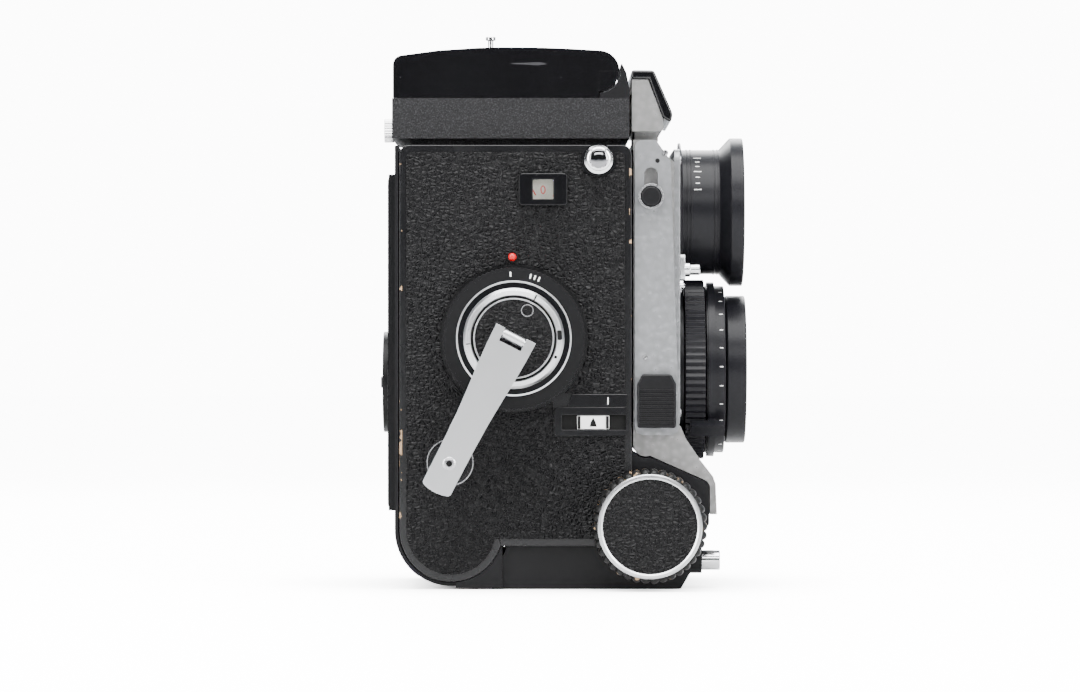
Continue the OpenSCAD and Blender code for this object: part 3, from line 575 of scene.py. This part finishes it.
def lock_details(window=(6.45, 51.7), plate_z=51.95, front=0.7):
    """Plate of the focus lock with its window and tab, and the slider's arrow and edges."""
    slider = middle("lock_slider")
    face = low("lock_slider").x
    arrow = [(-1.1, -1.3), (1.1, -1.3), (0.75, 0.1), (0, 1.5), (-0.75, 0.1)]
    slab("lock_arrow", arrow, 0.08, (face + SINK, slider.y, slider.z), RIGHT, "matt", "lock_slider")
    for s in (-1, 1):
        slab("lock_edge_%s" % ("back" if s > 0 else "front"), rounded(0.9, 3.9, 0.2), 0.25,
             (face + SINK, slider.y + s * 4.4, slider.z), RIGHT, "satin", "lock_slider")
    plate, top = low("lock_plate"), high("lock_plate")
    wide, mid = top.y - plate.y, (top.y + plate.y) / 2
    base = frame_ring("lock_face", rounded(wide, 8.9, 1.2), (-mid, plate_z), rounded(19.9, 4.6, 0.3), window,
                      1.0, (plate.x + front, 0, 0), RIGHT, "enamel", "camera_body", bevel=0.15)
    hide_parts("lock_plate")
    tab = [(1.9, 56.5), (0.4, top.z), (plate.y, top.z), (plate.y, 56.5)]
    slab("lock_tab", [(-y, z) for y, z in tab], 0.7, (plate.x + front, 0, 0), RIGHT, "enamel", "camera_body",
         bevel=0.25)
    slab("lock_well", rounded(20.2, 5.0, 0.4), 0.1, (slider.x + 0.35, -window[0], window[1]), RIGHT, "matt",
         "camera_body")
    slab("lock_mark", rounded(0.35, 2.2, 0.1), PAINT, (plate.x + SINK, plate.y + 6.0, top.z - 2.1),
         RIGHT, "white", "camera_body")


def standard_details():
    """Screws, the slot knob's rim, ribs of the shutter release, and the flash terminal."""
    for side, direction in (("right", RIGHT), ("left", LEFT)):
        x = direction[0] * high("side_plates").x
        for i, (y, z) in enumerate(((-22.4, 71.9), (-28.6, 135.4), (-22.5, 52.4))):
            screw("standard_screw_%s_%d" % (side, i), 0.75 if i == 0 else 0.95, (x, y, z), direction,
                  "front_standard", "steel", 40 + 35 * i)
    knob = middle("slot_knob")
    annulus("slot_knob_rim", 3.3, 3.95, 0.35, (low("slot_knob").x + 0.85, knob.y, knob.z), RIGHT, "steel",
            "slot_knob", segments=48, bevel=0.1)
    foot, top = low("release_slide"), high("release_slide")
    for i in range(9):
        z = foot.z + 1.6 + i * 1.25
        slab("release_rib_%d" % i, rounded(top.y - foot.y - 1.2, 0.6, 0.25, 2), 0.35,
             (foot.x + 0.05, middle("release_slide").y, z), RIGHT, "satin", "release_slide", bevel=0.1)
    front = low("lens_board").y
    for i, (x, z) in enumerate(((-27, 133.5), (27, 133.5), (-27, 54.5), (27, 54.5), (-28, 93), (28, 93))):
        screw("board_screw_%d" % i, 1.3, (x, front, z), FORWARD, "front_standard", "steel", 25 * i)
    # Flash terminal, its bracket and the small pin below it
    slab("terminal_bracket", rounded(4.5, 8.4, 1.2), 1.7, (-24.5, front, 100), FORWARD, "satin_chrome",
         "front_standard", bevel=0.25)
    terminal = [(POLE, 0), (2.3, 0), (2.3, 1.6), (1.75, 1.9), (1.75, 4.6), (1.45, 4.9), (1.2, 4.9), (1.1, 3.2),
                (POLE, 3.2)]
    lathe("flash_terminal", terminal, (-24.5, front - 1.5, 99.4), FORWARD, "chrome", "front_standard",
          segments=40)
    pin = [(POLE, 0), (0.9, 0), (0.9, 1.1), (0.6, 1.5), (POLE, 1.6)]
    lathe("front_pin", pin, (-27.5, front, 94.2), FORWARD, "chrome", "front_standard", segments=32)
    # Small black hole high on the crank's side
    disc("cheek_hole", 0.7, 0.1, (low("side_plates").x - SINK, -26.2, 133), RIGHT, "matt", "front_standard",
         segments=24)


def barrel_tick(name, degrees, radius, place, outline):
    """A white tick painted on a barrel, at an angle about a place on the barrel's axis."""
    a = math.radians(degrees)
    out = Vector((math.cos(a), 0, math.sin(a)))
    slab(name, outline, PAINT, Vector(place) + radius * out, out, "white", "front_standard",
         up=Vector((-math.sin(a), 0, math.cos(a))))


def lens_details():
    """Rings, ribs and scales of the two lenses."""
    view = middle("viewing_barrel")
    view.y = low("viewing_barrel").y
    take = middle("taking_barrel")
    take.y = low("taking_barrel").y
    # Retaining rings round the front elements
    for name, lens, depth, r in (("viewing", view, 8.6, 15.2), ("taking", take, 5.1, 13.6)):
        for i in range(3):
            annulus("%s_ring_%d" % (name, i), r + 0.1 + 1.1 * i, r + 0.8 + 1.1 * i, 0.35,
                    (lens.x, lens.y + depth - 0.8 * i, lens.z), FORWARD, "lens", "front_standard")
    # Fine ribs along the viewing barrel, and an engraved scale of plain ticks
    for i, y in enumerate((-36.0, -37.2, -44.6, -45.8)):
        annulus("viewing_rib_%d" % i, 19.5, 19.95, 0.4, (view.x, y, view.z), FORWARD, "lens",
                "front_standard", bevel=0.08)
    for i in range(7):
        tall = 2.4 if i % 3 == 0 else 1.3
        barrel_tick("viewing_tick_%d" % i, 122 + i * 6.4, 19.76, (0, -39.4, view.z),
                    rounded(tall, 0.28, 0.1, 2))
    # Scale on the shutter body: short ticks round its edge
    for i in range(26):
        barrel_tick("shutter_tick_%d" % i, 100 + i * 13, 26.46, (0, -46.6, take.z),
                    rounded(1.1, 0.3, 0.1, 2))
    lathe("taking_front_bead", [(22.3, 0), (23.3, 0), (23.3, 0.3), (22.9, 0.5), (22.3, 0.4), (22.3, 0)],
          (0, take.y + 0.5, take.z), FORWARD, "lens", "front_standard")


def bellows(pleats=11, crest=0.2, valley=2.6):
    """Pleated skin between the body and the standard, folded at rest."""
    lo, hi = low("bellows"), high("bellows")
    back, front = hi.y + 0.1, lo.y - 0.05
    rings = []
    steps = pleats * 2
    for i in range(steps + 1):
        y = back + (front - back) * i / steps
        inset = crest if i % 2 == 0 else valley
        w, h = hi.x - lo.x - 2 * inset, hi.z - lo.z - 2 * inset
        rings.append([(px, y, (hi.z + lo.z) / 2 + pz) for px, pz in rounded(w, h, 2.2, 2)])
    bm = ring_mesh(rings, (False, False))
    bmesh.ops.scale(bm, vec=(MM, MM, MM), verts=bm.verts)
    obj = finish_piece("bellows_skin", bm, "bellows", None, angle=180)
    skin = obj.modifiers.new("thickness", "SOLIDIFY")
    skin.thickness = 0.2 * MM
    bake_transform(obj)
    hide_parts("bellows")


# ---------------------------------------------------------------- back, base and left side
def back_details(inset=1.12):
    """Leather of the back, and the film dial's marks, which lie that far inside its outer face."""
    door_y = high("back_door").y
    slab("back_leather", rounded(57.5, 102.5, 3, 4), 0.35, (0, door_y - 0.02, 76.5), BACK, "leather",
         "back_door", bevel=0.15)
    dial = middle("film_dial")
    face = high("film_dial").y - inset
    for i in range(4):
        a = math.radians(45 + 90 * i)
        spot = Vector((12.4 * math.cos(a), face, dial.z + 12.4 * math.sin(a)))
        disc("film_dial_dot_%d" % i, 0.8, 0.1, spot, BACK, "white", "film_dial", segments=24)
    annulus("film_dial_groove", 13.9, 14.4, 0.08, (0, face, dial.z), BACK, "matt", "film_dial")
    lathe("film_dial_index", [(POLE, 0), (0.9, 0), (0.9, 0.25), (POLE, 0.35)],
          (0, door_y + 0.3, dial.z + 19), BACK, "red", "back_door", segments=24)


def base_details():
    for i, (x, y) in enumerate(((-29, -29), (29, -29), (-29, 17), (29, 17), (0, 20))):
        screw("base_screw_%d" % i, 1.9, (x, y, 0.32), DOWN, "camera_body", "steel", 20 + 50 * i)
    annulus("tripod_washer", 6.2, 11.5, 0.25, (0, 0, 0.27), DOWN, "satin_chrome", "camera_body")


def left_details(points=80, dip=0.03, grip=2.5):
    """Grips and caps of the two spool knobs, screws of the accessory shoe, and ribs of the latch."""
    for name in ("spool_knob_upper", "spool_knob_lower"):
        centre, outer = middle(name), high(name).x
        turn = [(1 - dip * (i % 2), 2 * math.pi * i / points) for i in range(points)]
        bm = ring_mesh([[(r * k * math.cos(a), r * k * math.sin(a), d) for k, a in turn]
                        for d, r in ((0, 6.15), (0.2, 6.35), (2.2, 6.35), (grip, 6.1))])
        bmesh.ops.transform(bm, matrix=facing((outer - grip, centre.y, centre.z), LEFT), verts=bm.verts)
        finish_piece(name + "_grip", bm, "satin_chrome", name, angle=20)
        lathe(name + "_cap", [(POLE, 0), (4.2, 0), (4.2, 0.08), (POLE, 0.14)], (outer, centre.y, centre.z),
              LEFT, "satin", name, segments=48)
    shoe = middle("accessory_shoe")
    floor_x = high("side_covers").x + 1.4
    for i, (y, z) in enumerate(((-5, -6), (5, -6), (-5, 6), (5, 6))):
        screw("shoe_screw_%d" % i, 1.3, (floor_x, shoe.y + y, shoe.z + z), LEFT, "camera_body", "steel",
              35 * i)
    latch = middle("door_latch")
    for i in range(4):
        slab("latch_rib_%d" % i, rounded(4.0, 0.4, 0.15, 2), 0.25,
             (high("door_latch").x - SINK, 50.1, latch.z + 1.3 - 0.95 * i), LEFT, "steel", "door_latch")


def hood_details(line_length=54, line_gap=9):
    """Lines on the screen, the strap studs' polished centres, and a thin chrome strip on the hood bracket's
    bare edge, which also paints the edge's highlight.
    """
    top = high("focusing_screen").z
    screen = middle("focusing_screen")
    for i in range(-2, 3):
        for name, outline, x, y in (
                ("screen_line_x%d", rounded(line_length, 0.16, 0.05, 1), screen.x, screen.y + line_gap * i),
                ("screen_line_y%d", rounded(0.16, line_length, 0.05, 1), screen.x + line_gap * i, screen.y)):
            slab(name % i, outline, 0.03, (x, y, top), UP, "matt", "camera_body", up=(0, 1, 0))
    lug = middle("strap_lugs")
    stud = [(POLE, -0.9), (3.1, -0.9), (3.0, -0.35), (2.2, 0.05), (1.2, 0.22), (POLE, 0.28)]
    for side, direction in (("right", RIGHT), ("left", LEFT)):
        x = direction[0] * high("strap_lugs").x
        lathe("strap_disc_%s" % side, stud, (x, lug.y, lug.z), direction, "stud", "camera_body", segments=48)
        annulus("strap_foot_%s" % side, 2.4, 4.95, 0.12, (x - direction[0] * 5.6, lug.y, lug.z), direction,
                "enamel", "camera_body", segments=64)
    # A thin chrome strip on the bracket's bare edge, which also stands as a painted highlight of that edge,
    # runs round the hinge of the lid
    (y, z), r, wide = (-8.06, 161), 6.55, 0.36
    arc = [(math.radians(a), r) for a in range(186, 262, 4)]
    arc += [(math.radians(a), r + wide) for a in range(258, 182, -4)]
    edge = [(-(y + d * math.cos(a)), z + d * math.sin(a)) for a, d in arc]
    slab("bracket_edge_highlight", edge, PAINT, (low("hood_bracket").x + SINK, 0, 0), RIGHT, "chrome", "camera_body")


for build in (focus_knobs, crank_details, arm_details, counter_details, lock_details, standard_details,
              lens_details, bellows, back_details, base_details, left_details, hood_details):
    build()


# ---------------------------------------------------------------- studio
BACKDROP = 12  # strength of the white that the camera sees behind the object
FLOOR_GLOW = 11  # strength of the white that the camera sees of the floor


def studio():
    """White backdrop and floor, with a contact shadow painted into the floor's white by ambient occlusion, a
    dim room that is brighter towards +X, and five soft lights.
    """
    world = bpy.data.worlds.new("studio")
    bpy.context.scene.world = world
    world.use_nodes = True
    tree = world.node_tree
    backdrop = tree.nodes["Background"]
    backdrop.inputs["Color"].default_value = (1, 1, 1, 1)
    backdrop.inputs["Strength"].default_value = BACKDROP
    room = tree.nodes.new("ShaderNodeBackground")
    room.inputs["Color"].default_value = (0.9, 0.95, 1, 1)
    where = tree.nodes.new("ShaderNodeTexCoord")
    split = tree.nodes.new("ShaderNodeSeparateXYZ")
    link(tree, where, "Generated", split, "Vector")
    wall = tree.nodes.new("ShaderNodeMapRange")
    wall.inputs["From Min"].default_value = 0.05
    wall.inputs["From Max"].default_value = 0.6
    wall.inputs["To Min"].default_value = 0.07
    wall.inputs["To Max"].default_value = 2.2
    link(tree, split, "X", wall, "Value")
    link(tree, wall, "Result", room, "Strength")
    rays = tree.nodes.new("ShaderNodeLightPath")
    mix = tree.nodes.new("ShaderNodeMixShader")
    link(tree, rays, "Is Camera Ray", mix, "Fac")
    tree.links.new(room.outputs["Background"], mix.inputs[1])
    tree.links.new(backdrop.outputs["Background"], mix.inputs[2])
    tree.links.new(mix.outputs["Shader"], tree.nodes["World Output"].inputs["Surface"])
    bpy.ops.mesh.primitive_circle_add(vertices=96, radius=6, fill_type="NGON", location=(0, 0, -0.0002))
    floor = bpy.context.object
    floor.name = "floor"
    m, t, b = new_material("floor", (0.8, 0.8, 0.8), 0.6)
    # The floor's white, seen only by the camera, is darkened by ambient occlusion near the camera: a painted
    # contact shadow
    shade = t.nodes.new("ShaderNodeAmbientOcclusion")
    shade.inputs["Distance"].default_value = 0.05
    seen = t.nodes.new("ShaderNodeLightPath")
    shadowed_glow = t.nodes.new("ShaderNodeMath")
    shadowed_glow.operation = "MULTIPLY"
    link(t, shade, "AO", shadowed_glow, 0)
    link(t, seen, "Is Camera Ray", shadowed_glow, 1)
    floor_white_with_painted_shadow = t.nodes.new("ShaderNodeMath")
    floor_white_with_painted_shadow.operation = "MULTIPLY"
    floor_white_with_painted_shadow.inputs[1].default_value = FLOOR_GLOW
    link(t, shadowed_glow, "Value", floor_white_with_painted_shadow, 0)
    b.inputs["Emission Color"].default_value = (1, 1, 1, 1)
    link(t, floor_white_with_painted_shadow, "Value", b, "Emission Strength")
    floor.data.materials.append(m)
    for name, place, size, power in (
            ("top_softbox", (-0.3, 0.0, 1.0), (1.0, 0.9), 38),
            ("front_softbox", (-0.8, -0.9, 0.5), (0.4, 0.9), 24),
            ("back_softbox", (-0.7, 0.9, 0.45), (0.35, 0.9), 20),
            ("camera_softbox", (-1.3, 0.0, 0.75), (1.0, 0.3), 9),
            ("far_softbox", (0.9, 0.1, 0.7), (0.8, 0.6), 16)):
        light = bpy.data.lights.new(name, "AREA")
        light.shape = "RECTANGLE"
        light.size, light.size_y = size
        light.energy = power
        obj = bpy.data.objects.new(name, light)
        obj.location = place
        aim = Vector((0, 0, 0.08)) - Vector(place)
        obj.rotation_euler = aim.to_track_quat("-Z", "Y").to_euler()
        bpy.context.collection.objects.link(obj)


def photo_camera(distance=1.6, lens=167.5, look_at=(0, 0.0103, 0.0754)):
    cam = bpy.data.cameras.new("camera")
    cam.lens = lens
    cam.sensor_width = 36
    cam.clip_start = 0.05
    obj = bpy.data.objects.new("camera", cam)
    obj.location = Vector(look_at) - Vector((distance, 0, 0))
    obj.rotation_euler = Vector((1, 0, 0)).to_track_quat("-Z", "Y").to_euler()
    bpy.context.collection.objects.link(obj)
    bpy.context.scene.camera = obj


studio()
photo_camera()
